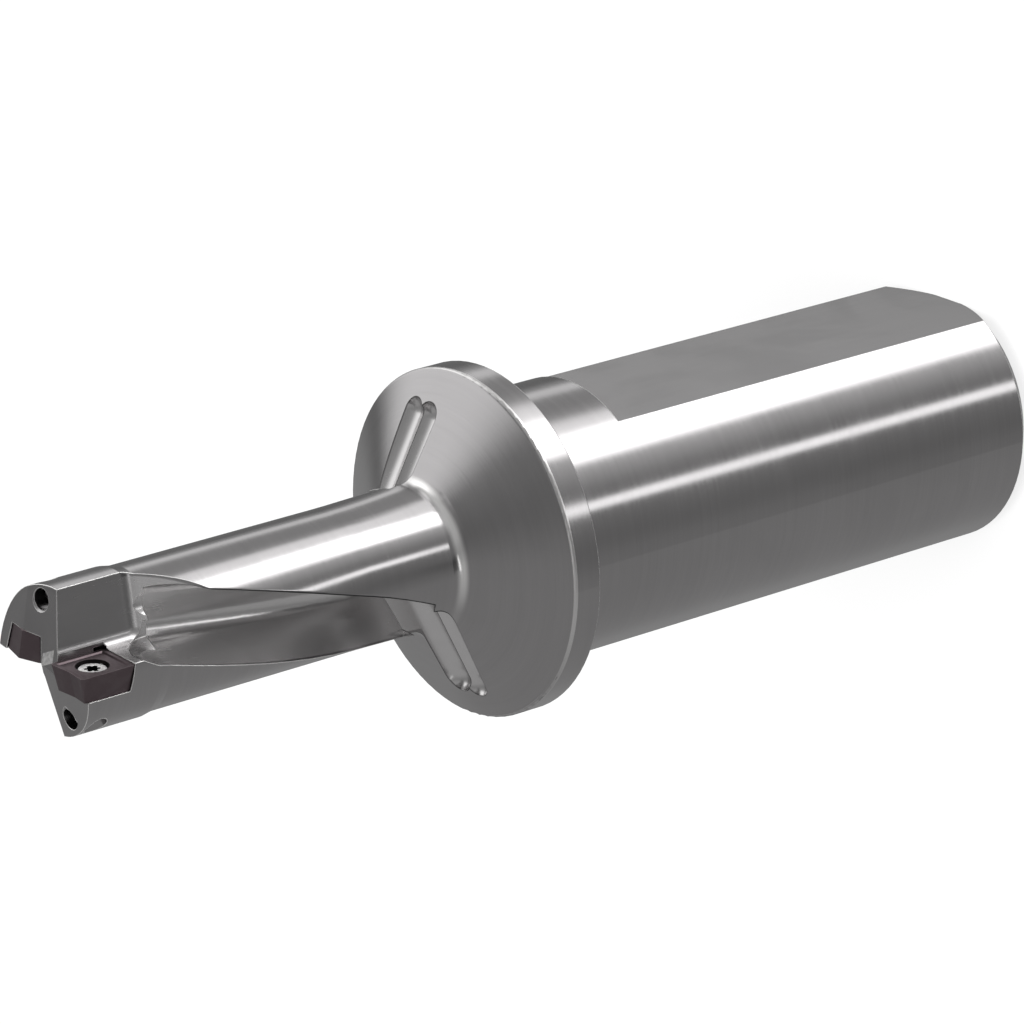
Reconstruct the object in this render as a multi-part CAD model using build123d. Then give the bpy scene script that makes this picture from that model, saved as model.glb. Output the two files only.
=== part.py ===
"""Indexable drill: fluted steel body with a flanged shank and two screwed-on carbide inserts.

Frame: millimetres, Z along the drill axis with the cutting end up, origin at the centre of the
shank's end face, +Y square to the clamping flat. The peripheral insert lies on the +X side.
"""
from build123d import *
from build123d import SkipClean
from math import atan, cos, radians, sin, sqrt, tan
import os

# Shank
shank_d = 25.0
shank_len = 56.0
shank_chamfer = 1.85
flat_depth = 2.0
flat_len = 46.4

# Flange and the cone in front of it
flange_d = 32.0
flange_t = 3.0
flange_break = 0.15
rim_round = 0.4
neck_foot_gap = 5.1
neck_fillet = 1.8
flare_len = 9.5
flare_r = 97.0

# Fluted body and the slightly larger head
body_d = 12.87
head_d = 13.28
head_start = 96.1
head_taper = 1.1

# Flute: a flat-bottomed channel with round corners, turned about the axis
flute_twist = 2.57
flute_zero_z = 98.0
flute_floor = 0.6
flute_wall = 0.5
lobe_r = 1.45
lobe_gap = 2.5
flute_front = 94.4
front_run = 2.2
front_lag = 3.6
heel_r = 3.45
heel_x = 5.5
heel_z = 94.5
heel_fall = 1.7
runout_kink = 66.8
runout_depth = 1.15
runout_gap = 2.3
runout_open = 2.0
runout_end_r = 13.2
runout_angle = -90.0

# Chip gullets in the head: the wide one serves the outer insert, the deep one the central insert
gullet_back = 95.6
gullet_exit_angle = 28.0
gullet_exit_r = 1.7
gullet_corner_r = 1.2
gullet_margin = 0.08
wide_gullet_x = 0.80
wide_gullet_lean = 11.0
deep_gullet_x = -1.30
deep_gullet_lean = 12.0

# Front faces of the two lands
axis_front = 103.72
relief_back = 10.3
outer_fall = 8.0
inner_fall = 6.0
front_apex_x = -2.78

# Inserts, each given by its cutting face
insert_t = 2.38
insert_relief = 11.0
insert_corner_r = 0.3
seat_gap = 0.02
relief_hole_r = 0.6
relief_hole_in = 0.45
relief_hole_rise = 0.3
outer_rake_y = 0.72
outer_x0 = 1.96
outer_x1 = 6.72
outer_lead = 0.45
outer_len = 5.45
outer_dip = 0.22
outer_dip_x = 4.6
central_rake_y = -0.20
central_x0 = -5.35
central_x1 = -0.50
central_apex_x = -2.7
central_lead = 0.48
central_len = 5.40
central_drop_out = 0.65
central_drop_in = 0.72
central_side_gap = 0.5

# Chip former: a flat land along the edges, then a shallow floor
rim_land = 0.4
rim_drop = 0.12
rim_slope = 50.0

# Insert screws and their seats
sink_d = 3.0
sink_depth = 0.35
seat_d = 2.62
seat_depth = 0.9
insert_bore_d = 2.3
screw_d = 2.0
screw_hole_d = 2.1
screw_len = 4.6
screw_edge = 0.08
socket_r = 0.5
socket_tip_r = 0.21
socket_depth = 0.7
outer_screw_in = 2.39
outer_screw_up = 2.78
central_screw_in = 2.40
central_screw_up = 2.30

# Coolant passages
inlet_d = 12.4
inlet_len = 46.0
drill_point = 118.0
duct_d = 1.9
duct_r = 4.9
duct_angle = 118.0
duct_bend_z = 95.0
duct_stops = (60.0, 72.0, 84.0)
mouth_break = 0.12
upper_mouth = (-0.98, 5.30)
lower_mouth = (2.80, -4.38)

air = 12.0
touch = 0.001
shank_r = shank_d / 2
flange_r = flange_d / 2
body_r = body_d / 2
head_r = head_d / 2
flange_z = shank_len + flange_t
neck_foot_z = flange_z + neck_foot_gap
flare_z = neck_foot_z + flare_len
neck_foot_r = body_r + flare_r - sqrt(flare_r**2 - flare_len**2)
cone_slope = neck_foot_gap / (flange_r - neck_foot_r)
cone_tilt = atan(cone_slope)
back_slope = tan(radians(relief_back))
outer_z1 = axis_front + outer_lead
outer_z0 = outer_z1 - outer_len
central_z1 = axis_front + central_lead
central_z0 = central_z1 - central_len
outer_screw = (outer_x0 + outer_screw_in, outer_z0 + outer_screw_up)
central_screw = (central_x0 + central_screw_in, central_z0 + central_screw_up)
top_z = max(outer_z1, central_z1) + 1.0
lobe_u = flute_floor + lobe_r
flute_w = 2 * lobe_r + lobe_gap
lobe_ws = (flute_wall + lobe_r, flute_wall + lobe_r + lobe_gap)


def blank():
    """Shank, flange, cone, body and head as one turned piece with its clamping flat."""
    shank = [(0, 0), (shank_r - shank_chamfer, 0), (shank_r, shank_chamfer), (shank_r, shank_len)]
    flange = [(flange_r - flange_break, shank_len), (flange_r, shank_len + flange_break)]
    edge = [(flange_r, flange_z)]
    head = [(body_r, head_start - head_taper), (head_r, head_start), (head_r, top_z), (0, top_z)]
    with BuildPart() as part:
        with BuildSketch(Plane.XZ):
            with BuildLine():
                start = Polyline(*shank, *flange, *edge, (neck_foot_r, neck_foot_z))
                RadiusArc((neck_foot_r, neck_foot_z), (body_r, flare_z), flare_r)
                Polyline((body_r, flare_z), *head, (0, 0))
            make_face()
            corners = vertices()
            foot = corners.sort_by_distance((neck_foot_r, neck_foot_z))[0]
            fillet(foot, neck_fillet)
            rim = vertices().sort_by_distance((flange_r, flange_z))[0]
            fillet(rim, rim_round)
        revolve(axis=Axis.Z)
    return part.part


def clamping_flat():
    """The block that is milled off the top of the shank."""
    depth = flat_depth + air
    block = Box(2 * air + shank_d, depth, flat_len + air, align=(Align.CENTER, Align.MIN, Align.MAX))
    return Pos(0, shank_r - flat_depth, flat_len) * block


def flute_angle(z):
    """Direction in degrees that the first flute's cutter comes from at height z."""
    return flute_twist * (z - flute_zero_z)


def flute_point(u, w, z, angle=None):
    """A point given by its depth u and side offset w in the flute's own turned frame."""
    turn = radians(flute_angle(z) if angle is None else angle)
    return Vector(u * cos(turn) - w * sin(turn), u * sin(turn) + w * cos(turn), z)


def flute_section(centres):
    """Section of a flute between its round corners' centres, open outwards."""
    width = centres[-1] - centres[0] + 2 * lobe_r
    middle = (centres[0] + centres[-1]) / 2
    shape = Pos(lobe_u + air / 2, middle) * Rectangle(air, width)
    for w in centres:
        shape += Pos(lobe_u, w) * Circle(lobe_r)
    if len(centres) > 1:
        shape += Pos(lobe_u, middle) * Rectangle(2 * lobe_r, centres[-1] - centres[0])
    return shape.face()


def twisted(face, z0, z1):
    """A section in the flute's turned frame, carried from z0 to z1 as the frame turns."""
    placed = Pos(0, 0, z0) * Rot(0, 0, flute_angle(z0)) * face
    turn = flute_twist * (z1 - z0)
    return Solid.extrude_linear_with_rotation(placed, (0, 0, z0), (0, 0, z1 - z0), turn)


def ball_pass(start, end, outwards):
    """What a ball-ended cutter removes on a straight run, open on its outer side."""
    run = end - start
    section = Pos(0, runout_open / 2) * Rectangle(2 * lobe_r, runout_open) + Circle(lobe_r)
    shape = Plane(origin=start, x_dir=outwards.cross(run), z_dir=run) * extrude(section, run.length)
    return shape + [Pos(*point) * Sphere(lobe_r) for point in (start, end)]


def runout(w_index):
    """One of the two shallow channels in which a flute runs out up the cone."""
    side = (w_index - 0.5) * runout_gap
    mid_w = flute_wall + flute_w / 2
    start = flute_point(lobe_u, mid_w, runout_kink)
    end = flute_point(runout_end_r - lobe_r * cos(cone_tilt), mid_w, 0, runout_angle)
    surface_z = flange_z + (flange_r - Vector(end.X, end.Y, 0).length) * cone_slope
    lift = (lobe_r - runout_depth) / cos(cone_tilt)
    end = Vector(end.X, end.Y, surface_z + lift)
    run = (end - start).normalized()
    across = Vector(0, 0, 1).cross(run).normalized()
    outwards = run.cross(across)
    return ball_pass(start + across * side, end + across * side, outwards)


def straight_front():
    """The straight length in which the flute's outer corner runs out into the gullet."""
    turned = Pos(0, 0, flute_front) * Rot(0, 0, flute_angle(flute_front) - front_lag)
    return turned * extrude(flute_section(lobe_ws[1:]), front_run)


def heel():
    """The flute's lower wall carried forward along the rim, up a round ramp to the gullet's floor."""
    wall = twisted(flute_section(lobe_ws[:1]), flute_front, heel_z + heel_r)
    depth = heel_r / heel_fall
    ramp = Cone(0, heel_r, depth, align=(Align.CENTER, Align.CENTER, Align.MAX))
    ramp += Cylinder(heel_r, lobe_r, align=(Align.CENTER, Align.CENTER, Align.MIN))
    floor_y = outer_rake_y + gullet_margin
    return wall & Plane(origin=(heel_x, floor_y, heel_z), z_dir=(0, 1, 0)) * ramp


def flute():
    """Everything that the cutters remove for the first flute."""
    shape = Part() + twisted(flute_section(lobe_ws), runout_kink, flute_front)
    shape += [straight_front(), heel(), runout(0), runout(1)]
    return shape


def gullet(floor_y, wall_x, lean):
    """Chip space in front of an insert: a leaning wall, a flat floor and a sloped way out."""
    exit_run = 2 * air
    turn = radians(gullet_exit_angle)
    back = (exit_run * sin(turn), gullet_back - exit_run * cos(turn))
    outline = Polyline((0, gullet_back), back, (exit_run, top_z), (0, top_z), close=True)
    face = make_face(outline)
    corner = face.vertices().sort_by_distance((0, gullet_back))[0]
    prism = extrude(Plane.XZ * fillet(corner, gullet_exit_r), air, both=True)
    prism = Pos(wall_x, head_r) * Rot(0, 0, lean) * prism
    above = Box(exit_run * 2, air, top_z * 2, align=(Align.CENTER, Align.MIN, Align.CENTER))
    space = prism & Pos(0, floor_y, 0) * above
    floor_edges = space.edges().filter_by_position(Axis.Y, floor_y - touch, floor_y + touch)
    foot = [e for e in floor_edges if e.center().X < head_r and e.center().Z < top_z - touch]
    return fillet(foot, gullet_corner_r)


def above_plane(point, fall_x, fall_y):
    """All that lies in front of a land face that falls by the given slopes."""
    face = Plane(origin=point, z_dir=(fall_x, fall_y, 1))
    return face * Box(flange_d, flange_d, air, align=(Align.CENTER, Align.CENTER, Align.MIN))


def front_relief():
    """The three clearance faces of the front end, which meet in a ridge near the axis."""
    inner = tan(radians(inner_fall))
    outer = -tan(radians(outer_fall))
    centre = (0, 0, axis_front)
    apex = (front_apex_x, 0, axis_front - inner * front_apex_x)
    upper = [above_plane(centre, inner, back_slope), above_plane(apex, outer, back_slope)]
    return [*upper, above_plane(centre, 0, -back_slope)]


def outer_outline():
    """Corners of the outer insert's cutting face as x and z."""
    tip_z = outer_z1
    dip = (outer_dip_x, tip_z - outer_dip)
    return [(outer_x0, tip_z), dip, (outer_x1, tip_z), (outer_x1, outer_z0), (outer_x0, outer_z0)]


def central_outline():
    """Corners of the central insert's cutting face as x and z."""
    outer = (central_x0, central_z1 - central_drop_out)
    inner = (central_x1, central_z1 - central_drop_in)
    return [outer, (central_apex_x, central_z1), inner, (central_x1, central_z0), (central_x0, central_z0)]


def cutting_plane(rake_y, facing):
    """Plane of a cutting face: its normal leaves the insert and its local y is the drill axis."""
    return Plane(origin=(0, rake_y, 0), x_dir=(-facing, 0, 0), z_dir=(0, facing, 0))


def local_face(corners, facing):
    """A face in a cutting plane's own axes from corners in x and z, listed clockwise from +Y."""
    points = [(-facing * x, z) for x, z in corners]
    return make_face(Polyline(*points[::facing], close=True)).face()


def sunk(face, depth, taper=0.0):
    """A solid below the cutting plane whose walls draw in with depth."""
    return extrude(face, depth, dir=(0, 0, -1), taper=taper)


def turned_below(steps, x, z):
    """A turned solid below the cutting plane from pairs of radius and depth."""
    outline = [(0, -steps[0][1]), *[(r, -depth) for r, depth in steps], (0, -steps[-1][1])]
    half = Plane.XZ * make_face(Polyline(*outline, close=True))
    return Pos(x, z) * revolve(half, Axis.Z)


def seat_radius(depth):
    """Radius of the conical screw seat at a depth below the cutting face."""
    share = (depth - sink_depth) / (seat_depth - sink_depth)
    return (seat_d + (insert_bore_d - seat_d) * share) / 2


def insert(corners, facing, rake_y, screw_x, screw_z):
    """One insert: relieved on all sides, with a chip former and a countersunk bore."""
    face = local_face(corners, facing)
    middle = (-facing * corners[1][0], corners[1][1])
    sharp = face.vertices().sort_by_distance(middle)[1:]
    body = sunk(fillet(sharp, insert_corner_r), insert_t, insert_relief)
    body -= sunk(offset(face, -rim_land), rim_drop, rim_slope)
    seat = [(sink_d / 2, 0), (seat_d / 2, sink_depth), (insert_bore_d / 2, seat_depth)]
    body -= turned_below([*seat, (insert_bore_d / 2, insert_t)], -facing * screw_x, screw_z)
    return cutting_plane(rake_y, facing) * body


def screw(facing, rake_y, screw_x, screw_z):
    """A countersunk insert screw with a plain six-lobed socket."""
    rim = sink_depth + screw_edge
    foot_r = seat_radius(seat_depth) - seat_gap
    head = [(seat_radius(rim) - seat_gap - screw_edge, sink_depth), (seat_radius(rim) - seat_gap, rim)]
    neck = [(foot_r, seat_depth), (screw_d / 2, seat_depth + foot_r - screw_d / 2)]
    body = turned_below([*head, *neck, (screw_d / 2, screw_len)], 0, 0)
    star = Circle(socket_r) + PolarLocations(socket_r, 6) * Circle(socket_tip_r)
    body -= Pos(0, 0, -sink_depth) * sunk(star, socket_depth)
    return cutting_plane(rake_y, facing) * Pos(-facing * screw_x, screw_z) * body


def pocket(span, z0, facing, rake_y, screw_x, screw_z):
    """The seat of one insert between two x values, with corner reliefs and its screw hole."""
    corners = [(span[0], z0), (span[0], top_z), (span[1], top_z), (span[1], z0)]
    face = local_face(corners, facing)
    space = sunk(face, insert_t, insert_relief) + extrude(face, gullet_corner_r)
    for x in span:
        if abs(x) < head_r:
            hole = extrude(Circle(relief_hole_r), insert_t + relief_hole_rise)
            space += Pos(-facing * x, z0 + relief_hole_in, -insert_t) * hole
    space += turned_below([(screw_hole_d / 2, insert_t), (screw_hole_d / 2, air)], -facing * screw_x, screw_z)
    return cutting_plane(rake_y, facing) * space


def inlet():
    """Blind coolant bore in the shank with its drilled point."""
    radius = inlet_d / 2
    point = radius / tan(radians(drill_point / 2))
    outline = [(0, 0), (radius, 0), (radius, inlet_len), (0, inlet_len + point)]
    return revolve(Plane.XZ * make_face(Polyline(*outline, close=True)), Axis.Z)


def duct_stop(side, z):
    """Where the middle of a coolant duct lies at height z, turning with the flutes."""
    turn = radians(duct_angle + side + flute_angle(z))
    return Vector(duct_r * cos(turn), duct_r * sin(turn), z)


def duct(side, mouth):
    """Straight lengths of a coolant duct that follows the flutes to a land's front face."""
    surface_z = axis_front - abs(mouth[1]) * back_slope
    if mouth[1] > 0:
        surface_z -= mouth[0] * tan(radians(inner_fall))
    stops = [duct_stop(side, z) for z in (inlet_len, *duct_stops, duct_bend_z)]
    exit_run = Vector(*mouth, surface_z) - stops[-1]
    beyond = Vector(*mouth, surface_z) + exit_run.normalized() * duct_d
    lengths = [Pos(*stop) * Sphere(duct_d / 2) for stop in stops[1:]]
    for start, end in zip(stops, [*stops[1:], beyond]):
        run = end - start
        lengths.append(Plane(origin=start, z_dir=run) * extrude(Circle(duct_d / 2), run.length))
    flare = Cone(duct_d / 2 - mouth_break, duct_d / 2 + 2 * mouth_break, 3 * mouth_break)
    line = Plane(origin=stops[-1], z_dir=exit_run)
    return [*lengths, line * Pos(0, 0, exit_run.length) * flare]


def parted(body, z):
    """The same solid with its faces parted at height z, so the full-round wall is a face of its own."""
    below = body.split(Plane.XY.offset(z), keep=Keep.BOTTOM)
    above = body.split(Plane.XY.offset(z), keep=Keep.TOP)
    with SkipClean():
        return below + above


def drill_body():
    """The steel body with everything that is cut from it."""
    half_turn = Rot(0, 0, 180)
    body = blank() - clamping_flat() - inlet()
    first = flute()
    body = body - first - half_turn * first
    body -= gullet(outer_rake_y + gullet_margin, wide_gullet_x, wide_gullet_lean)
    deep = gullet(gullet_margin - central_rake_y, deep_gullet_x, deep_gullet_lean)
    body -= half_turn * deep
    for space in front_relief():
        body -= space
    outer_span = (outer_x0 - seat_gap, air)
    central_span = (central_x0 - seat_gap, central_x1 + central_side_gap)
    body -= pocket(outer_span, outer_z0 - seat_gap, 1, outer_rake_y, *outer_screw)
    body -= pocket(central_span, central_z0 - seat_gap, -1, central_rake_y, *central_screw)
    for length in duct(0, upper_mouth) + duct(180, lower_mouth):
        body -= length
    return parted(body, flat_len)


def main():
    os.makedirs("parts", exist_ok=True)
    outer = (1, outer_rake_y, *outer_screw)
    central = (-1, central_rake_y, *central_screw)
    nodes = {
        "drill_body": drill_body(),
        "peripheral_insert": insert(outer_outline(), *outer),
        "central_insert": insert(central_outline(), *central),
        "peripheral_insert_screw": screw(*outer),
        "central_insert_screw": screw(*central),
    }
    for name, shape in nodes.items():
        export_step(shape, f"parts/{name}.step")


if __name__ == "__main__":
    main()
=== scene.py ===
"""Indexable drill with a flanged shank, dressed for a studio picture.

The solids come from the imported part. This script gives every one its finish, and sets the floor,
the studio light and the camera around them. Metres, with the drill standing on its shank. The
shader groups work in millimetres, because the finishes follow the drill's own sizes.
"""
import math

import bpy
from bpy.props import FloatProperty, FloatVectorProperty, PointerProperty
from mathutils import Matrix, Vector


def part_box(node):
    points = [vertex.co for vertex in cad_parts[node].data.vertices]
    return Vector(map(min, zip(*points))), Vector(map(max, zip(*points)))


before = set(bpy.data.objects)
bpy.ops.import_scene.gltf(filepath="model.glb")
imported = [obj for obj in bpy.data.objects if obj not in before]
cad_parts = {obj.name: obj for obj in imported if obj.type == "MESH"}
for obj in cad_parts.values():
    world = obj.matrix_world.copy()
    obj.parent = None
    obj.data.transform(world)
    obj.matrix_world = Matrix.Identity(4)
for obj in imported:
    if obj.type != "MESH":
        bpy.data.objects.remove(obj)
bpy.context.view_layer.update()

bl_info = {
    "name": "Indexable Drill",
    "version": (1, 0, 0),
    "blender": (4, 5, 0),
    "location": "3D View > Sidebar > Drill",
    "description": "Finishes the drill's steel, inserts and screws and sets up its studio",
    "category": "Object",
}

INSERTS = ("peripheral_insert", "central_insert")
SCREWS = ("peripheral_insert_screw", "central_insert_screw")
MM = 1000.0

# The turned skin that the flutes and the flat are cut into, in millimetres
SHANK_R = 12.5
CHAMFER = 1.85
FLANGE_BACK = 55.95
FLANGE_FRONT = 59.0
FLANGE_R = 16.0
CONE_FALL = 1.784
FLARE_END = 73.6
FLARE_R = 97.0
BODY_R = 6.435
# Degrees that the flutes turn in a millimetre, and the height where their turn is nought
FLUTE_TWIST = 2.57
FLUTE_ZERO = 98.0
# Share of the radius that is taken from the height to lay turning lines along a cone
TURNING_LEAN = 0.7

# Where one finish gives way to the next, each as a soft step in millimetres: the depth under the
# skin that counts as milled, and the heights where the front and the head begin
MILLED_DEPTH = (0.14, 0.28)
FRONT_START = (58.0, 60.0)
HEAD_START = (94.5, 96.5)

# A painted highlight, the bright line where the cone meets the flange's rim: how its brightness
# falls off to either side, its heights from the flange's front, its reach inside the rim, and how
# it fades round the axis from the side of CRESCENT_SIDE, with its least brightness and what is
# added there
RIM_LEAN = (0.03, 0.09)
RIM_HEIGHTS = (-0.35, 0.3)
RIM_REACH = (0.3, 0.5)
RIM_TURN = (0.1, 0.7)
RIM_FLOOR = 0.12
RIM_HIGHLIGHT_GAIN = 0.4

# The neck's crescent, a painted highlight: its place along the turned profile, how its brightness
# falls off, its heights, the direction across the axis that it faces, and how it fades round the
# axis
NECK_ALONG = 59.3
NECK_FALL = (0.1, 0.8)
NECK_HEIGHTS = (62.5, 66.0)
CRESCENT_SIDE = (0.766, 0.643, 0.0)
CRESCENT_TURN = (0.3, 0.9)
CRESCENT_FLOOR = 0.1
CRESCENT_HIGHLIGHT_GAIN = 0.75

# A painted glint on the thinned web between the two lands: its span, its depth across the slant,
# the slant, and the heights where it begins
WEB_SPAN = (0.08, 1.33)
WEB_DEPTH = (-0.2, 0.85)
WEB_SLANT = 0.47
WEB_START = (102.6, 102.9)
WEB_GLINT_GAIN = 1.5

# The flutes' upper edges and their run-outs get painted shade in place of the bright edge colour:
# how far off the flute's middle they lie, and the heights between which they do
SHADED_SIDE = (2.8, 3.4)
SHADED_START = (59.7, 60.2)
SHADED_END = (90.0, 93.0)
RUN_OUT_END = (64.0, 70.0)
PAINTED_SHADE_TONE = (0.07, 0.07, 0.07, 1.0)

# Machined lines by finish: how many fit in a millimetre along each axis of the place they follow.
# The screws' rings have millimetres out from the screw's axis, and metres on the other two
TURNED_LINES = (6.0, 0.14, 0.14)
FLUTED_LINES = (4.0, 4.0, 0.10)
MILLED_LINES = (5.0, 5.0, 0.08)
COATED_LINES = (1.2, 9.0, 9.0)
SCREW_LINES = (14.0, 200.0, 200.0)
# The noise behind the lines and the slow bands over them, and its middle value
LINE_NOISE = {"Scale": 1.0, "Detail": 4.0, "Roughness": 0.6}
BAND_NOISE = {"Scale": 0.17, "Detail": 2.0, "Roughness": 0.6}
NOISE_MIDDLE = 0.5
# The noise behind the patches of handling and oil, the levels between which a patch sets in, and
# the patches' size in metres
PATCH_NOISE = {"Detail": 3.0, "Distortion": 0.6}
PATCH_LEVELS = (0.38, 0.62)
STEEL_PATCH = 0.011
COATED_PATCH = 0.0022
SCREW_PATCH = 0.0009
# Rubbed edges: rays that look for one, how far the normal turns on it as one less its cosine, the
# noise that breaks it up, and how much of it stays unrubbed, where more is more gaps
EDGE_SAMPLES = 8
EDGE_TURN = (0.006, 0.10)
BREAK_NOISE = {"Scale": 1400.0, "Detail": 2.0}
BREAK_SOFT = 0.25
STEEL_BREAKS = 0.05
COATED_BREAKS = 0.34
SCREW_BREAKS = 0.3
# How far a milled face's ripple is quieter than a turned one's
MILLED_QUIET = 0.7
# Share of each effect in the steel's tone and in its roughness
TONE_START = 0.94
TONE_RIPPLE = 0.12
TONE_BANDS = 0.08
TONE_PATCH = 0.04
ROUGH_RIPPLE = 0.10
ROUGH_PATCH = 0.03
EDGE_ROUGHNESS = 0.42
# The same for the coating, with how far worn edges are lighter than the second colour
DRIFT_PATCH = 0.45
DRIFT_BANDS = 0.5
WORN_GAIN = 1.9
WORN_SHARE = 0.6
COATED_ROUGH_LINES = 0.16
# The painted shade in the countersink around each screw, in millimetres
SINK_EDGE = (1.44, 1.5)
SINK_SHADE_COLOUR = (0.012, 0.010, 0.010, 1.0)
# The same for the screws, with the socket's edge and the depth where painted shade sets in, in
# metres
SCREW_TONE_START = 0.82
SCREW_TONE_LINES = 0.25
SCREW_TONE_PATCH = 0.08
SCREW_ROUGH_LINES = 0.12
SCREW_EDGE_ROUND = 0.00006
SOCKET_EDGE = (0.00074, 0.00078)
SOCKET_DEPTH = (0.00001, 0.00012)
# Strength and depth in metres of the machined lines' bump
STEEL_BUMP = 0.35
FINE_BUMP = 0.4
BUMP_DEPTH = 0.00001

# The picture's right, up and near directions, and the camera's turn as degrees about an axis
PICTURE_AXES = (
    (0.62462545, -0.00641045, -0.78089817),
    (-0.2685557, 0.93721333, -0.2225062),
    (0.73329454, 0.34869769, 0.58368574),
)
CAMERA_TURN = (161.46629, -0.8985077, -0.0748808, 0.4325237)
PHOTO_WIDTH = 1024.0
PHOTO_FOCUS = 5125.4483
SENSOR_MM = 36.0
CLIP = (0.01, 50.0)

# Panels of light, with their angles in degrees around and above the picture's own level
PANEL_INPUTS = ("Middle Around", "Middle Height", "Half Width", "Half Height", "Soft Width",
                "Soft Height", "Strength")
PANELS = {
    "overhead": (72.0, 53.0, 28.0, 6.0, 14.0, 6.0, 3.0),
    "overhead_glow": (76.0, 53.0, 30.0, 6.0, 50.0, 26.0, 0.55),
    "overhead_rear": (80.0, 68.0, 36.0, 8.0, 20.0, 12.0, 1.0),
    "strip": (73.0, 15.0, 9.0, 1.3, 13.0, 3.0, 2.4),
    "left_wall": (-106.0, 40.0, 20.0, 22.0, 50.0, 10.0, 1.0),
    "back": (178.0, 46.5, 24.0, 2.0, 14.0, 6.0, 0.75),
    "top": (0.0, 90.0, 180.0, 4.0, 1.0, 14.0, 0.7),
    "back_dark": (180.0, 20.0, 30.0, 10.0, 22.0, 8.0, -0.2),
    "gullet_dark": (52.0, -14.0, 9.0, 5.0, 8.0, 8.0, -0.16),
    "gullet_glow": (27.0, -19.0, 2.0, 6.0, 4.0, 8.0, 0.9),
    "back_right": (126.0, 12.0, 8.0, 14.0, 16.0, 16.0, 0.7),
}
# Strength of the room's own light by degrees above the picture's level, and its least strength
ROOM = ((-90.0, 0.40), (-26.0, 0.40), (-16.0, 0.31), (-7.0, 0.26), (2.0, 0.32), (10.0, 0.38),
        (40.0, 0.43), (90.0, 0.6))
ROOM_LEAST = 0.02
WHITE = (1.0, 1.0, 1.0, 1.0)

# The floor's paper, and the soft lamp that gives the drill its shadow on it
PAPER = (0.9, 0.9, 0.9, 1.0)
PAPER_ROUGHNESS = 0.9
PAPER_GLOW = 0.8
LAMP_PLACE = (0.5, 0.25, 1.4)
LAMP_SIZE = 1.2
LAMP_WATTS = 30.0


class SteelSettings(bpy.types.PropertyGroup):
    colour: FloatVectorProperty(
        name="Steel colour", description="Colour of the bright steel", subtype="COLOR",
        size=3, min=0.0, max=1.0, default=(0.352, 0.344, 0.346))
    roughness: FloatProperty(
        name="Ground roughness", description="Roughness of the ground and turned faces",
        subtype="FACTOR", min=0.0, max=1.0, default=0.13)
    milled_roughness: FloatProperty(
        name="Milled roughness", description="Roughness of the flutes, gullets and head",
        subtype="FACTOR", min=0.0, max=1.0, default=0.24)
    edge_round: FloatProperty(
        name="Edge round", description="Radius that the edges are broken to", unit="LENGTH",
        min=0.0, max=0.001, precision=5, default=0.00014)
    # Rubbed bare steel on the edges, partly wear and partly a painted highlight; the painted
    # highlights on the neck, rim and web take this colour too
    edge_and_highlight_colour: FloatVectorProperty(
        name="Edge colour", description="Colour of the bright rubbed edges", subtype="COLOR",
        size=3, min=0.0, max=1.0, default=(0.95, 0.94, 0.93))
    # The flutes' lighter colour is painted light, which makes up for the shade that their walls
    # cast into them
    flute_lightened_colour: FloatVectorProperty(
        name="Flute colour", description="Colour of the brighter milled flutes", subtype="COLOR",
        size=3, min=0.0, max=1.0, default=(0.62, 0.61, 0.61))


class CarbideSettings(bpy.types.PropertyGroup):
    colour: FloatVectorProperty(
        name="Coating colour", description="Colour of the inserts' coating", subtype="COLOR",
        size=3, min=0.0, max=1.0, default=(0.118, 0.090, 0.098))
    tint: FloatVectorProperty(
        name="Second colour", description="Colour that the coating drifts to in patches",
        subtype="COLOR", size=3, min=0.0, max=1.0, default=(0.150, 0.122, 0.130))
    roughness: FloatProperty(
        name="Roughness", description="Roughness of the coating", subtype="FACTOR",
        min=0.0, max=1.0, default=0.46)
    edge_round: FloatProperty(
        name="Edge hone", description="Radius that the cutting edges are honed to", unit="LENGTH",
        min=0.0, max=0.001, precision=5, default=0.00005)


class ScrewSettings(bpy.types.PropertyGroup):
    colour: FloatVectorProperty(
        name="Screw colour", description="Colour of the screws", subtype="COLOR",
        size=3, min=0.0, max=1.0, default=(0.95, 0.95, 0.94))
    # Painted shade down in the socket
    socket_shade_colour: FloatVectorProperty(
        name="Socket colour", description="Colour down in the socket", subtype="COLOR",
        size=3, min=0.0, max=1.0, default=(0.03, 0.03, 0.03))
    roughness: FloatProperty(
        name="Roughness", description="Roughness of the screw heads", subtype="FACTOR",
        min=0.0, max=1.0, default=0.3)


class StudioSettings(bpy.types.PropertyGroup):
    focal_length: FloatProperty(
        name="Focal length", description="Focal length on a 36 mm sensor", unit="CAMERA",
        min=20.0, max=600.0, default=PHOTO_FOCUS * SENSOR_MM / PHOTO_WIDTH)
    camera_place: FloatVectorProperty(
        name="Camera place", description="Where the camera stands", subtype="TRANSLATION",
        unit="LENGTH", size=3, precision=4, default=(0.33649998, 0.16158592, 0.32099632))
    floor_size: FloatProperty(
        name="Floor size", description="Length of the square floor's side", unit="LENGTH",
        min=1.0, max=50.0, default=12.0)


def cad_node(name):
    """The carried-over object of one node, or an error when it isn't there."""
    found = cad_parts.get(name)
    if found is None:
        raise RuntimeError("missing node " + name)
    return found


def dress(node, material):
    """Gives a carried-over node its finish."""
    piece = cad_node(node)
    piece.data.materials.clear()
    piece.data.materials.append(material)


def opaque(colour):
    """A setting's three colour values with full alpha."""
    return (*colour, 1.0)


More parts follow.
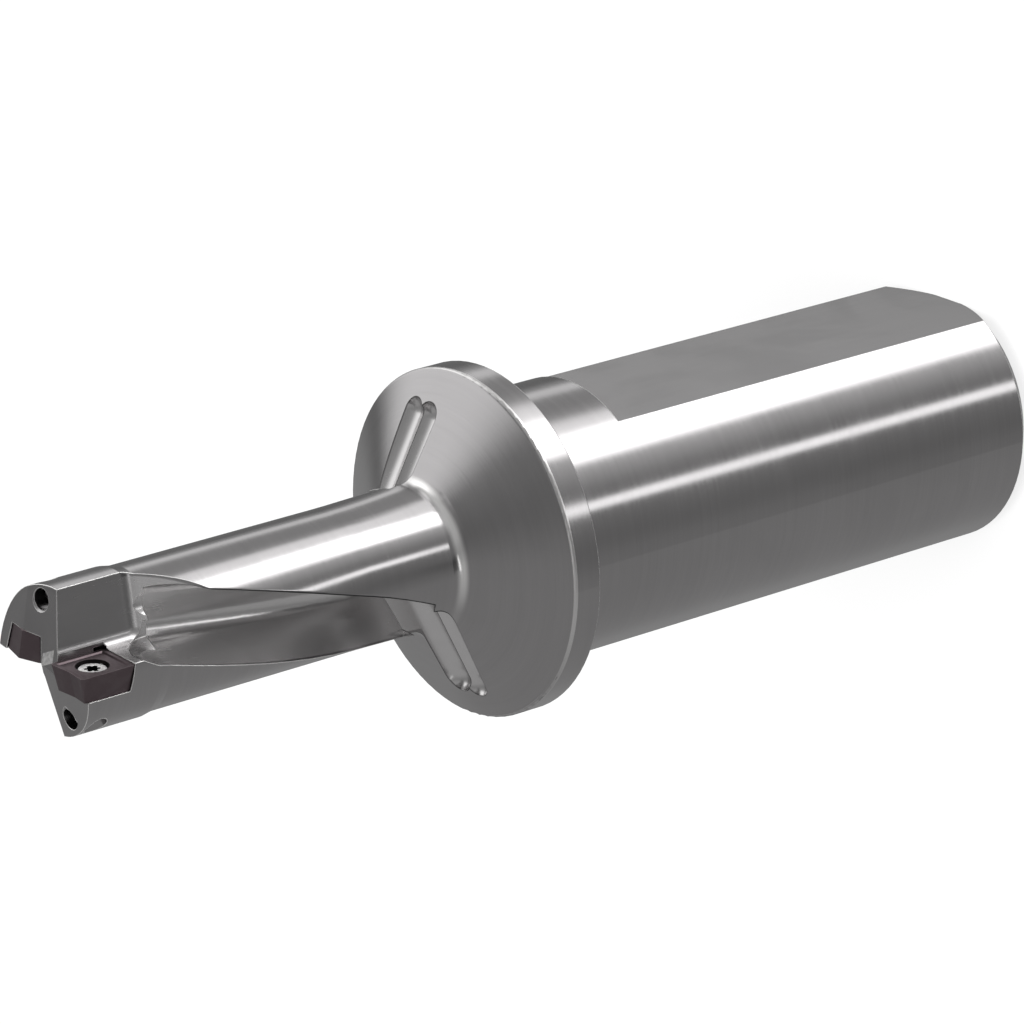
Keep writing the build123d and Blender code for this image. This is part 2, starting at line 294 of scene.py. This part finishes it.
def new_material(name):
    """An empty material with its Principled shader and output."""
    material = bpy.data.materials.new(name)
    material.use_nodes = True
    tree = material.node_tree
    tree.nodes.clear()
    out = tree.nodes.new("ShaderNodeOutputMaterial")
    shader = tree.nodes.new("ShaderNodeBsdfPrincipled")
    tree.links.new(shader.outputs["BSDF"], out.inputs["Surface"])
    return material, tree, shader


def new_metal(name):
    """A material whose Principled shader is all metal."""
    material, tree, shader = new_material(name)
    shader.inputs["Metallic"].default_value = 1.0
    return material, tree, shader


def feed(tree, slot, value):
    """Fills an input with a plain value, or links it to another node's output."""
    if isinstance(value, bpy.types.NodeSocket):
        tree.links.new(value, slot)
    else:
        slot.default_value = value


def maths(tree, operation, *values):
    """A Math node, given in its inputs' order."""
    node = tree.nodes.new("ShaderNodeMath")
    node.operation = operation
    for slot, value in zip(node.inputs, values):
        feed(tree, slot, value)
    return node.outputs[0]


def vector_maths(tree, operation, *values):
    """A Vector Math node's vector, or its value where it gives only a number."""
    node = tree.nodes.new("ShaderNodeVectorMath")
    node.operation = operation
    for slot, value in zip(node.inputs, values):
        feed(tree, slot, value)
    one_number = operation in ("DOT_PRODUCT", "LENGTH", "DISTANCE")
    return node.outputs["Value" if one_number else "Vector"]


def scaled(tree, colour, amount):
    """A colour made lighter or darker by an amount."""
    node = tree.nodes.new("ShaderNodeVectorMath")
    node.operation = "SCALE"
    feed(tree, node.inputs[0], colour)
    feed(tree, node.inputs["Scale"], amount)
    return node.outputs["Vector"]


def combine(tree, *values):
    """A vector from three numbers."""
    node = tree.nodes.new("ShaderNodeCombineXYZ")
    for slot, value in zip(node.inputs, values):
        feed(tree, slot, value)
    return node.outputs["Vector"]


def split(tree, vector):
    """The three numbers of a vector."""
    node = tree.nodes.new("ShaderNodeSeparateXYZ")
    tree.links.new(vector, node.inputs[0])
    return node.outputs


def plus(tree, first, *others):
    """A sum of two or more."""
    for other in others:
        first = maths(tree, "ADD", first, other)
    return first


def times(tree, first, *others):
    """A product of two or more."""
    for other in others:
        first = maths(tree, "MULTIPLY", first, other)
    return first


def rest_of(tree, mask):
    """One where a mask is nought, and nought where it is one."""
    return maths(tree, "SUBTRACT", 1.0, mask)


def soft_step(tree, value, start, end):
    """One below start, nought above end, and a smooth slope between."""
    node = tree.nodes.new("ShaderNodeMapRange")
    node.interpolation_type = "SMOOTHSTEP"
    given = {"Value": value, "From Min": start, "From Max": end, "To Min": 1.0, "To Max": 0.0}
    for name, part in given.items():
        feed(tree, node.inputs[name], part)
    return node.outputs["Result"]


def soft_rise(tree, value, start, end):
    """Nought below start, one above end, and a smooth slope between."""
    return rest_of(tree, soft_step(tree, value, start, end))


def between(tree, value, low, high, soft=0.08):
    """One between two levels, with soft ends."""
    return times(tree, soft_rise(tree, value, low - soft, low),
                 soft_step(tree, value, high, high + soft))


def blend(tree, share, first, second, kind="RGBA"):
    """A Mix node of colours, or of plain numbers where kind is FLOAT."""
    node = tree.nodes.new("ShaderNodeMix")
    node.data_type = kind
    start, end, result = {"RGBA": (6, 7, 2), "FLOAT": (2, 3, 0)}[kind]
    feed(tree, node.inputs[0], share)
    feed(tree, node.inputs[start], first)
    feed(tree, node.inputs[end], second)
    return node.outputs[result]


def cloud(tree, place, values):
    """A Noise Texture over a place, with its named inputs filled."""
    node = tree.nodes.new("ShaderNodeTexNoise")
    tree.links.new(place, node.inputs["Vector"])
    for name, value in values.items():
        feed(tree, node.inputs[name], value)
    return node.outputs["Fac"]


def bumped(tree, height, strength, normal):
    """A Bump node over a given normal."""
    bump = tree.nodes.new("ShaderNodeBump")
    given = {"Strength": strength, "Distance": BUMP_DEPTH, "Height": height, "Normal": normal}
    for name, value in given.items():
        feed(tree, bump.inputs[name], value)
    return bump.outputs["Normal"]


def object_place(tree):
    """The place on the drill in metres, which is the same for every piece."""
    return tree.nodes.new("ShaderNodeTexCoord").outputs["Object"]


def new_group(name, numbers_in=(), vectors_in=(), numbers_out=(), vectors_out=()):
    """A node group with its sockets made: the tree, what is given to it and what it puts out."""
    tree = bpy.data.node_groups.new(name, "ShaderNodeTree")
    for way, kind, names in (("INPUT", "NodeSocketFloat", numbers_in),
                             ("INPUT", "NodeSocketVector", vectors_in),
                             ("OUTPUT", "NodeSocketFloat", numbers_out),
                             ("OUTPUT", "NodeSocketVector", vectors_out)):
        for each in names:
            tree.interface.new_socket(name=each, in_out=way, socket_type=kind)
    given = tree.nodes.new("NodeGroupInput").outputs
    out = tree.nodes.new("NodeGroupOutput").inputs
    return tree, given, out


def placed(tree, group, values=None):
    """A placed node group with its named inputs filled."""
    node = tree.nodes.new("ShaderNodeGroup")
    node.node_tree = group
    for name, value in (values or {}).items():
        feed(tree, node.inputs[name], value)
    return node


def skin_radius(tree, z, cone):
    """Radius of the turned skin at a height: shank, flange, cone, flare and body."""
    chamfer = maths(tree, "MINIMUM", plus(tree, z, SHANK_R - CHAMFER), SHANK_R)
    flare = maths(tree, "MAXIMUM", maths(tree, "SUBTRACT", FLARE_END, z), 0.0)
    flare = maths(tree, "DIVIDE", times(tree, flare, flare), 2.0 * FLARE_R)
    front = maths(tree, "MAXIMUM", cone, plus(tree, flare, BODY_R))
    return blend(tree, maths(tree, "GREATER_THAN", z, FLANGE_BACK), chamfer, front, "FLOAT")


def drill_places_group():
    """Where a point lies on the drill, in millimetres: along, off the axis and in the flute."""
    tree, _, out = new_group("drill_places",
                             numbers_out=("Radius", "Height", "Below Skin", "Rim Highlight"),
                             vectors_out=("Turned", "Fluted", "Straight"))
    straight = vector_maths(tree, "MULTIPLY", object_place(tree), (MM, MM, MM))
    x, y, z = split(tree, straight)
    radius = vector_maths(tree, "LENGTH", combine(tree, x, y, 0.0))
    spin = tree.nodes.new("ShaderNodeVectorRotate")
    spin.rotation_type = "Z_AXIS"
    tree.links.new(straight, spin.inputs["Vector"])
    turn = times(tree, maths(tree, "SUBTRACT", z, FLUTE_ZERO), -math.radians(FLUTE_TWIST))
    tree.links.new(turn, spin.inputs["Angle"])
    in_front = maths(tree, "SUBTRACT", z, FLANGE_FRONT)
    fallen = times(tree, maths(tree, "MAXIMUM", in_front, 0.0), CONE_FALL)
    cone = maths(tree, "SUBTRACT", FLANGE_R, fallen)
    along = maths(tree, "SUBTRACT", z, times(tree, radius, TURNING_LEAN))
    under_cone = maths(tree, "DIVIDE", maths(tree, "SUBTRACT", cone, radius), CONE_FALL)
    inside_rim = maths(tree, "SUBTRACT", FLANGE_R, radius)
    lean = maths(tree, "ABSOLUTE", maths(tree, "SUBTRACT", under_cone, inside_rim))
    # Where the rim's painted highlight lies: along the edge between the cone and the flange's rim
    near_rim = times(tree, between(tree, in_front, *RIM_HEIGHTS),
                     soft_step(tree, inside_rim, *RIM_REACH))
    found = {
        "Radius": radius,
        "Height": z,
        "Below Skin": maths(tree, "SUBTRACT", skin_radius(tree, z, cone), radius),
        "Rim Highlight": times(tree, soft_step(tree, lean, *RIM_LEAN), near_rim),
        "Turned": combine(tree, along, x, y),
        "Fluted": spin.outputs["Vector"],
        "Straight": straight,
    }
    for name, source in found.items():
        tree.links.new(source, out[name])
    return tree


def machined_grain_group():
    """Fine lines left by a wheel or cutter, and slow bands over them."""
    tree, given, out = new_group("machined_grain", vectors_in=("Place", "Squeeze"),
                                 numbers_out=("Lines", "Bands"))
    spread = vector_maths(tree, "MULTIPLY", given["Place"], given["Squeeze"])
    tree.links.new(cloud(tree, spread, LINE_NOISE), out["Lines"])
    tree.links.new(cloud(tree, spread, BAND_NOISE), out["Bands"])
    return tree


def rubbed_edge_group():
    """The surface normal rounded over edges, and a mask that is one on them with gaps."""
    tree, given, out = new_group("rubbed_edge", numbers_in=("Round", "Breaks"),
                                 numbers_out=("Edge",), vectors_out=("Normal",))
    bevel = tree.nodes.new("ShaderNodeBevel")
    bevel.samples = EDGE_SAMPLES
    tree.links.new(given["Round"], bevel.inputs["Radius"])
    rounded = bevel.outputs["Normal"]
    plain = tree.nodes.new("ShaderNodeNewGeometry").outputs["Normal"]
    turned_by = rest_of(tree, vector_maths(tree, "DOT_PRODUCT", rounded, plain))
    edge = soft_rise(tree, turned_by, *EDGE_TURN)
    specks = cloud(tree, object_place(tree), BREAK_NOISE)
    rubbed = soft_rise(tree, specks, given["Breaks"], plus(tree, given["Breaks"], BREAK_SOFT))
    tree.links.new(times(tree, edge, rubbed), out["Edge"])
    tree.links.new(rounded, out["Normal"])
    return tree


def handling_patches_group():
    """Slow patches where oil and handling have changed the gloss."""
    tree, given, out = new_group("handling_patches", numbers_in=("Size",), numbers_out=("Patch",))
    scale = maths(tree, "DIVIDE", 1.0, given["Size"])
    patches = cloud(tree, object_place(tree), {"Scale": scale, **PATCH_NOISE})
    tree.links.new(soft_rise(tree, patches, *PATCH_LEVELS), out["Patch"])
    return tree


def soft_panel_group():
    """A soft-edged lamp panel, placed by two angles around the drill."""
    tree, given, out = new_group("soft_panel", numbers_in=("Around", "Height", *PANEL_INPUTS),
                                 numbers_out=("Light",))
    across = maths(tree, "SUBTRACT", given["Around"], given["Middle Around"])
    across = maths(tree, "ABSOLUTE", maths(tree, "WRAP", across, 180.0, -180.0))
    above = maths(tree, "SUBTRACT", given["Height"], given["Middle Height"])
    above = maths(tree, "ABSOLUTE", above)
    wide = soft_step(tree, across, given["Half Width"],
                     plus(tree, given["Half Width"], given["Soft Width"]))
    high = soft_step(tree, above, given["Half Height"],
                     plus(tree, given["Half Height"], given["Soft Height"]))
    tree.links.new(times(tree, wide, high, given["Strength"]), out["Light"])
    return tree


def shared(name, maker):
    """A shader group that is built once and then shared."""
    return bpy.data.node_groups.get(name) or maker()


def drill_places(tree):
    """Where each point lies on the drill, in millimetres."""
    return placed(tree, shared("drill_places", drill_places_group)).outputs


def grain(tree, place, lines):
    """Machined lines and bands that follow a place."""
    group = shared("machined_grain", machined_grain_group)
    return placed(tree, group, {"Place": place, "Squeeze": lines}).outputs


def patches_of(tree, size):
    """Slow patches of a size in metres."""
    group = shared("handling_patches", handling_patches_group)
    return placed(tree, group, {"Size": size}).outputs["Patch"]


def rubbed_edge(tree, edge_round, breaks):
    """The mask and the rounded normal of worn edges."""
    group = shared("rubbed_edge", rubbed_edge_group)
    return placed(tree, group, {"Round": edge_round, "Breaks": breaks}).outputs


def painted_shade_edges(tree, places):
    """The flutes' upper edges and run-outs, whose edges get painted shade."""
    height = places["Height"]
    off_side = maths(tree, "ABSOLUTE", split(tree, places["Fluted"])["Y"])
    upper = soft_rise(tree, off_side, *SHADED_SIDE)
    body = times(tree, soft_rise(tree, height, *SHADED_START),
                 soft_step(tree, height, *SHADED_END))
    run_outs = times(tree, body, soft_step(tree, height, *RUN_OUT_END))
    return maths(tree, "MAXIMUM", times(tree, upper, body), run_outs)


def web_glint_place(tree, places):
    """Where the painted glint goes: the ground facet between the two lands at the tip."""
    x, y, z = split(tree, places["Straight"])
    slant = maths(tree, "SUBTRACT", y, times(tree, x, WEB_SLANT))
    return times(tree, between(tree, x, *WEB_SPAN), between(tree, slant, *WEB_DEPTH),
                 soft_rise(tree, z, *WEB_START))


def neck_and_rim_highlights(tree, places, cut):
    """Painted highlights: the neck's crescent, and the rim's line where it turns to the same side.
    """
    along = split(tree, places["Turned"])["X"]
    off_neck = maths(tree, "ABSOLUTE", maths(tree, "SUBTRACT", along, NECK_ALONG))
    neck = times(tree, soft_step(tree, off_neck, *NECK_FALL),
                 between(tree, places["Height"], *NECK_HEIGHTS), rest_of(tree, cut))
    towards = vector_maths(tree, "DOT_PRODUCT", places["Straight"], CRESCENT_SIDE)
    facing = maths(tree, "DIVIDE", towards, places["Radius"])
    crescent = times(tree, soft_rise(tree, facing, *CRESCENT_TURN), CRESCENT_HIGHLIGHT_GAIN)
    rim = times(tree, soft_rise(tree, facing, *RIM_TURN), RIM_HIGHLIGHT_GAIN)
    return (times(tree, neck, plus(tree, CRESCENT_FLOOR, crescent)),
            times(tree, places["Rim Highlight"], plus(tree, RIM_FLOOR, rim)))


class DRILL_OT_body(bpy.types.Operator):
    """Finish the steel body"""
    bl_idname = "drill.body"
    bl_label = "Steel body"

    def execute(self, context):
        settings = context.scene.drill_steel
        material, tree, shader = new_metal("drill_steel")
        places = drill_places(tree)
        turned = grain(tree, places["Turned"], TURNED_LINES)
        fluted = grain(tree, places["Fluted"], FLUTED_LINES)
        straight = grain(tree, places["Straight"], MILLED_LINES)
        patch = patches_of(tree, STEEL_PATCH)
        edge = rubbed_edge(tree, settings.edge_round, STEEL_BREAKS)

        cut = soft_rise(tree, places["Below Skin"], *MILLED_DEPTH)
        front = soft_rise(tree, places["Height"], *FRONT_START)
        head = soft_rise(tree, places["Height"], *HEAD_START)
        milled = times(tree, cut, front)
        in_flute = times(tree, milled, rest_of(tree, head))

        def by_finish(name):
            """The grain that belongs to each finish, in its own place."""
            below = blend(tree, front, straight[name], fluted[name], "FLOAT")
            return blend(tree, cut, turned[name], below, "FLOAT")

        quiet = rest_of(tree, times(tree, cut, MILLED_QUIET))
        ripple = times(tree, maths(tree, "SUBTRACT", by_finish("Lines"), NOISE_MIDDLE), quiet)
        tone = plus(tree, times(tree, ripple, TONE_RIPPLE),
                    times(tree, by_finish("Bands"), TONE_BANDS), TONE_START,
                    times(tree, patch, TONE_PATCH))

        edge_and_highlight_colour = opaque(settings.edge_and_highlight_colour)
        # Painted light in the flutes: their colour is lighter to make up for their own shade
        base = blend(tree, in_flute, opaque(settings.colour), opaque(settings.flute_lightened_colour))
        # Painted highlights: the neck's crescent and the line along the flange's rim
        neck, rim = neck_and_rim_highlights(tree, places, cut)
        # A painted glint on the web between the two lands at the tip
        web_glint = times(tree, web_glint_place(tree, places), times(tree, fluted["Lines"], WEB_GLINT_GAIN))
        # The rubbed edges, partly wear and partly painted highlight, joined with the painted
        # highlights on the rim and web
        bright = maths(tree, "MAXIMUM", maths(tree, "MAXIMUM", edge["Edge"], rim), web_glint)
        # Painted shade takes the place of the bright edge colour on the flutes' upper edges and
        # run-outs
        edge_highlight_and_shade = blend(tree, painted_shade_edges(tree, places), edge_and_highlight_colour, PAINTED_SHADE_TONE)
        colour = blend(tree, neck, scaled(tree, base, tone), edge_and_highlight_colour)
        feed(tree, shader.inputs["Base Color"], blend(tree, bright, colour, edge_highlight_and_shade))

        rough = blend(tree, milled, settings.roughness, settings.milled_roughness, "FLOAT")
        rough = plus(tree, rough, times(tree, ripple, ROUGH_RIPPLE),
                     times(tree, patch, ROUGH_PATCH))
        rough = blend(tree, bright, rough, EDGE_ROUGHNESS, "FLOAT")
        feed(tree, shader.inputs["Roughness"], rough)
        feed(tree, shader.inputs["Normal"], bumped(tree, ripple, STEEL_BUMP, edge["Normal"]))
        dress("drill_body", material)
        return {"FINISHED"}


class DRILL_OT_inserts(bpy.types.Operator):
    """Finish the two carbide inserts"""
    bl_idname = "drill.inserts"
    bl_label = "Inserts"

    def execute(self, context):
        settings = context.scene.drill_carbide
        material, tree, shader = new_metal("insert_coating")
        places = drill_places(tree)
        ground = grain(tree, places["Straight"], COATED_LINES)
        patch = patches_of(tree, COATED_PATCH)
        edge = rubbed_edge(tree, settings.edge_round, COATED_BREAKS)

        drift = plus(tree, times(tree, patch, DRIFT_PATCH),
                     times(tree, ground["Bands"], DRIFT_BANDS))
        colour = blend(tree, drift, opaque(settings.colour), opaque(settings.tint))
        worn = opaque(min(1.0, WORN_GAIN * part) for part in settings.tint)
        colour = blend(tree, times(tree, edge["Edge"], WORN_SHARE), colour, worn)
        # Painted shade in the countersink around each screw
        flat = vector_maths(tree, "MULTIPLY", places["Straight"], (1.0, 0.0, 1.0))
        for node in SCREWS:
            low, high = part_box(node)
            middle = (MM * (low[0] + high[0]) / 2, 0.0, MM * (low[2] + high[2]) / 2)
            away = vector_maths(tree, "DISTANCE", flat, middle)
            colour = blend(tree, soft_step(tree, away, *SINK_EDGE), colour, SINK_SHADE_COLOUR)
        feed(tree, shader.inputs["Base Color"], colour)

        lines = maths(tree, "SUBTRACT", ground["Lines"], NOISE_MIDDLE)
        rough = plus(tree, settings.roughness, times(tree, lines, COATED_ROUGH_LINES))
        feed(tree, shader.inputs["Roughness"], rough)
        feed(tree, shader.inputs["Normal"],
             bumped(tree, ground["Lines"], FINE_BUMP, edge["Normal"]))
        for node in INSERTS:
            dress(node, material)
        return {"FINISHED"}


class DRILL_OT_screws(bpy.types.Operator):
    """Finish the two insert screws"""
    bl_idname = "drill.screws"
    bl_label = "Screws"

    def execute(self, context):
        settings = context.scene.drill_screw
        for node in SCREWS:
            # The head lies at the end of the screw that is nearer to the drill's middle plane
            low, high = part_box(node)
            head_up = abs(high[1]) < abs(low[1])
            face = high[1] if head_up else low[1]
            middle = ((low[0] + high[0]) / 2, 0.0, (low[2] + high[2]) / 2)

            material, tree, shader = new_metal(node + "_steel")
            place = object_place(tree)
            x, y, z = split(tree, place)
            depth = times(tree, maths(tree, "SUBTRACT", face, y), 1.0 if head_up else -1.0)
            flat = vector_maths(tree, "MULTIPLY", place, (1.0, 0.0, 1.0))
            away = vector_maths(tree, "DISTANCE", flat, middle)
            # Painted shade down in each socket
            socket = times(tree, soft_step(tree, away, *SOCKET_EDGE),
                           soft_rise(tree, depth, *SOCKET_DEPTH))
            rings = combine(tree, times(tree, away, MM), x, z)
            lines = grain(tree, rings, SCREW_LINES)["Lines"]
            patch = patches_of(tree, SCREW_PATCH)
            edge = rubbed_edge(tree, SCREW_EDGE_ROUND, SCREW_BREAKS)

            tone = plus(tree, times(tree, lines, SCREW_TONE_LINES),
                        plus(tree, SCREW_TONE_START, times(tree, patch, SCREW_TONE_PATCH)))
            colour = scaled(tree, tuple(settings.colour), tone)
            colour = blend(tree, socket, colour, opaque(settings.socket_shade_colour))
            feed(tree, shader.inputs["Base Color"], colour)
            rough = plus(tree, settings.roughness, times(tree, lines, SCREW_ROUGH_LINES))
            feed(tree, shader.inputs["Roughness"], rough)
            feed(tree, shader.inputs["Normal"], bumped(tree, lines, FINE_BUMP, edge["Normal"]))
            dress(node, material)
        return {"FINISHED"}


def background(tree, colour):
    """A world background of a colour."""
    node = tree.nodes.new("ShaderNodeBackground")
    feed(tree, node.inputs["Color"], colour)
    return node.outputs["Background"]


def mixed_shaders(tree, share, first, second):
    """Two shaders mixed by a share."""
    node = tree.nodes.new("ShaderNodeMixShader")
    for slot, value in zip(node.inputs, (share, first, second)):
        tree.links.new(value, slot)
    return node.outputs["Shader"]


def camera_ray(tree):
    """One for what the camera sees directly."""
    return tree.nodes.new("ShaderNodeLightPath").outputs["Is Camera Ray"]


def room_light(tree, height):
    """The grey room's light, from the floor to the ceiling."""
    ramp = tree.nodes.new("ShaderNodeValToRGB")
    ramp.color_ramp.interpolation = "B_SPLINE"
    stops = ramp.color_ramp.elements
    for index, (level, light) in enumerate(ROOM):
        spot = (level + 90.0) / 180.0
        stop = stops[index] if index < 2 else stops.new(spot)
        stop.position = spot
        stop.color = (light, light, light, 1.0)
    feed(tree, ramp.inputs["Fac"], maths(tree, "DIVIDE", plus(tree, height, 90.0), 180.0))
    return ramp.outputs["Color"]


def studio_world():
    """The room: grey walls with soft panels, white where the camera looks past the drill."""
    world = bpy.data.worlds.new("studio")
    world.use_nodes = True
    tree = world.node_tree
    tree.nodes.clear()
    place = tree.nodes.new("ShaderNodeTexCoord").outputs["Generated"]
    right, up, near = [vector_maths(tree, "DOT_PRODUCT", place, axis) for axis in PICTURE_AXES]
    around = maths(tree, "DEGREES", maths(tree, "ARCTAN2", right, near))
    height = maths(tree, "DEGREES", maths(tree, "ARCSINE", up))
    total = room_light(tree, height)
    group = soft_panel_group()
    for name, numbers in PANELS.items():
        panel = placed(tree, group, {"Around": around, "Height": height,
                                     **dict(zip(PANEL_INPUTS, numbers))})
        panel.name = name
        total = plus(tree, total, panel.outputs["Light"])
    room = background(tree, maths(tree, "MAXIMUM", total, ROOM_LEAST))
    out = tree.nodes.new("ShaderNodeOutputWorld")
    seen = mixed_shaders(tree, camera_ray(tree), room, background(tree, WHITE))
    tree.links.new(seen, out.inputs["Surface"])
    return world


def floor_paper():
    """White paper that stays white to the camera and keeps the drill's soft shadow."""
    material, tree, shader = new_material("floor_paper")
    shader.inputs["Base Color"].default_value = PAPER
    shader.inputs["Roughness"].default_value = PAPER_ROUGHNESS
    shader.inputs["Specular IOR Level"].default_value = 0.0
    glow = tree.nodes.new("ShaderNodeEmission")
    glow.inputs["Color"].default_value = WHITE
    seen = mixed_shaders(tree, times(tree, camera_ray(tree), PAPER_GLOW),
                         shader.outputs["BSDF"], glow.outputs["Emission"])
    tree.links.new(seen, tree.nodes["Material Output"].inputs["Surface"])
    return material


def add_camera(scene, settings):
    """The camera at the photograph's place, angle and focal length."""
    lens = bpy.data.cameras.new("photo_camera")
    lens.sensor_width = SENSOR_MM
    lens.lens = settings.focal_length
    lens.clip_start, lens.clip_end = CLIP
    camera = bpy.data.objects.new("photo_camera", lens)
    scene.collection.objects.link(camera)
    degrees, *axis = CAMERA_TURN
    spin = Matrix.Rotation(-math.radians(degrees), 3, Vector(axis))
    flip = Matrix(((1, 0, 0), (0, -1, 0), (0, 0, -1)))
    camera.matrix_world = Matrix.Translation(settings.camera_place) @ (spin @ flip).to_4x4()
    scene.camera = camera


def add_floor(scene, size):
    """The paper floor under the drill, which the metal doesn't mirror."""
    half = size / 2
    mesh = bpy.data.meshes.new("floor")
    corners = [(-half, -half, 0), (half, -half, 0), (half, half, 0), (-half, half, 0)]
    mesh.from_pydata(corners, [], [(0, 1, 2, 3)])
    mesh.materials.append(floor_paper())
    floor = bpy.data.objects.new("floor", mesh)
    scene.collection.objects.link(floor)
    floor.visible_glossy = False


def add_lamp(scene):
    """The soft lamp over the floor, out of the picture and out of the reflections."""
    glow = bpy.data.lights.new("floor_lamp", "AREA")
    glow.shape = "DISK"
    glow.size = LAMP_SIZE
    glow.energy = LAMP_WATTS
    lamp = bpy.data.objects.new("floor_lamp", glow)
    lamp.location = LAMP_PLACE
    lamp.rotation_euler = Vector(LAMP_PLACE).to_track_quat("Z", "Y").to_euler()
    lamp.visible_glossy = False
    lamp.visible_camera = False
    scene.collection.objects.link(lamp)


class DRILL_OT_studio(bpy.types.Operator):
    """Set up the floor, the light and the camera"""
    bl_idname = "drill.studio"
    bl_label = "Studio"

    def execute(self, context):
        scene = context.scene
        scene.view_settings.view_transform = "Standard"
        add_camera(scene, scene.drill_studio)
        add_floor(scene, scene.drill_studio.floor_size)
        add_lamp(scene)
        scene.world = studio_world()
        return {"FINISHED"}


STEPS = (DRILL_OT_body, DRILL_OT_inserts, DRILL_OT_screws, DRILL_OT_studio)
SETTINGS = {
    "drill_steel": SteelSettings,
    "drill_carbide": CarbideSettings,
    "drill_screw": ScrewSettings,
    "drill_studio": StudioSettings,
}


class DRILL_PT_panel(bpy.types.Panel):
    """The drill's pieces in the sidebar"""
    bl_idname = "DRILL_PT_panel"
    bl_label = "Indexable Drill"
    bl_space_type = "VIEW_3D"
    bl_region_type = "UI"
    bl_category = "Drill"

    def draw(self, context):
        for step in STEPS:
            self.layout.operator(step.bl_idname)


CLASSES = (*SETTINGS.values(), *STEPS, DRILL_PT_panel)


def register():
    for kind in CLASSES:
        bpy.utils.register_class(kind)
    for name, kind in SETTINGS.items():
        setattr(bpy.types.Scene, name, PointerProperty(type=kind))


def unregister():
    for name in SETTINGS:
        delattr(bpy.types.Scene, name)
    for kind in reversed(CLASSES):
        bpy.utils.unregister_class(kind)


def main():
    register()
    bpy.ops.drill.body()
    bpy.ops.drill.inserts()
    bpy.ops.drill.screws()
    bpy.ops.drill.studio()


if __name__ == "__main__":
    main()
